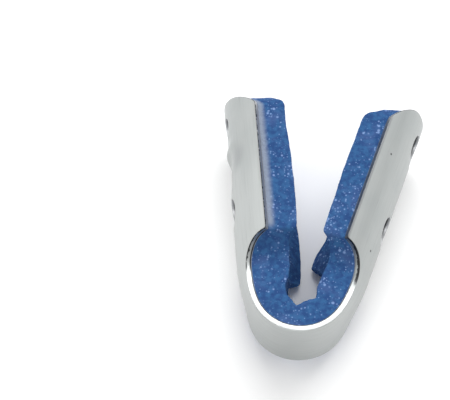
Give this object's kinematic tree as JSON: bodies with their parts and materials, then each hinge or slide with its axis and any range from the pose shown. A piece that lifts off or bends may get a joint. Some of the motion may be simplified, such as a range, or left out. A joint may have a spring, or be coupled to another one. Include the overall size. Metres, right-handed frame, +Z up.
{
  "type": "fold-over finger splint",
  "caption": "Hourglass aluminium strip folded into a V with troughed leaves and vent holes, lined with thick blue foam to clasp a finger tip.",
  "frame": {"origin": "the surface that the splint lies on, below the middle of its bounding box", "axes": "+Y from the bend towards the open end of the V, +X from the dented leaf towards the other leaf, +Z up across the width of the strip"},
  "size_m": [0.0402, 0.0528, 0.0213],
  "materials": {
    "aluminium": "mill finish, lightly brushed along the strip",
    "foam": "matt open-cell foam"
  },
  "bodies": {
    "root": {"aluminium_shell": "aluminium", "foam_liner": "foam"}
  },
  "joints": []
}
